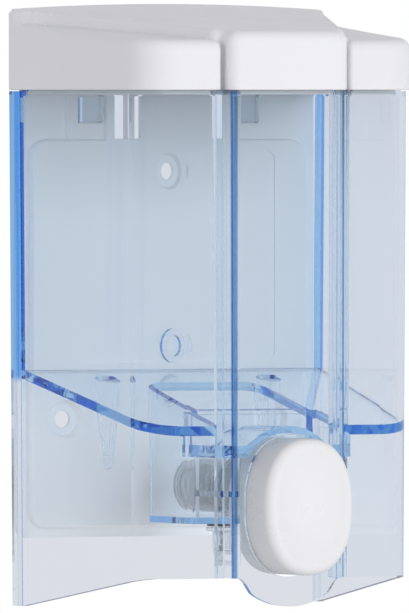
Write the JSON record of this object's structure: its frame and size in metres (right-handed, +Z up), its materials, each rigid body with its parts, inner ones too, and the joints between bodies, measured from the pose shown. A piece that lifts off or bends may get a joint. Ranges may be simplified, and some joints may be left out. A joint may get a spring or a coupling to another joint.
{
  "type": "wall mounted soap dispenser",
  "caption": "Wall mounted liquid soap dispenser with a clear blue tank, a white lift-off lid and a push button piston pump that feeds a spout under the tank.",
  "frame": {"origin": "on the rear face of the back plate, where it meets the wall, centred across the plate", "axes": "+Z up, -Y out of the wall towards the user, +X to the right of someone facing the dispenser"},
  "size_m": [0.0958, 0.088, 0.1633],
  "materials": {
    "gloss_white": "injection moulded ABS, smooth with a soft gloss",
    "plate_white": "injection moulded ABS, satin",
    "clear_blue": "clear light blue SAN, polished, saturated blue where seen edge on",
    "natural_plastic": "natural translucent polypropylene",
    "black_rubber": "moulded nitrile rubber, matt",
    "valve_steel": "polished stainless steel ball",
    "spring_steel": "drawn stainless spring wire"
  },
  "bodies": {
    "wall_unit": {"back_plate": "plate_white"},
    "tank": {"tank_body": "clear_blue", "pump_cylinder": "natural_plastic", "pump_gasket": "black_rubber", "pump_nut": "plate_white", "inlet_valve_cap": "natural_plastic", "inlet_o_ring": "black_rubber", "rod_guide": "plate_white", "rod_seal": "black_rubber", "nozzle_body": "natural_plastic", "nozzle_seal": "black_rubber", "nozzle_tip": "plate_white", "outlet_spring": "spring_steel", "return_spring": "spring_steel"},
    "lid_unit": {"lid": "gloss_white"},
    "button": {"push_button": "gloss_white", "plunger": "natural_plastic", "piston_seal": "black_rubber"},
    "inlet_valve": {"inlet_ball": "valve_steel"},
    "outlet_valve": {"outlet_ball": "valve_steel"}
  },
  "joints": [
    {"name": "tank_lift", "type": "slide", "parent": "wall_unit", "child": "tank", "axis": [0, 0, 1], "range_m": [0, 0.012]},
    {"name": "lid_lift", "type": "slide", "parent": "tank", "child": "lid_unit", "axis": [0, 0, 1], "range_m": [0, 0.045]},
    {"name": "button_press", "type": "slide", "parent": "tank", "child": "button", "axis": [0, 1, 0], "range_m": [0, 0.009], "stiffness_N_per_m": 500, "springref_m": -0.008, "deforming": ["return_spring"]},
    {"name": "inlet_ball_travel", "type": "slide", "parent": "tank", "child": "inlet_valve", "axis": [0, -1, 0], "range_m": [0, 0.0012]},
    {"name": "outlet_ball_travel", "type": "slide", "parent": "tank", "child": "outlet_valve", "axis": [0, 0, -1], "range_m": [0, 0.0005], "stiffness_N_per_m": 40, "springref_m": -0.003, "deforming": ["outlet_spring"]}
  ]
}
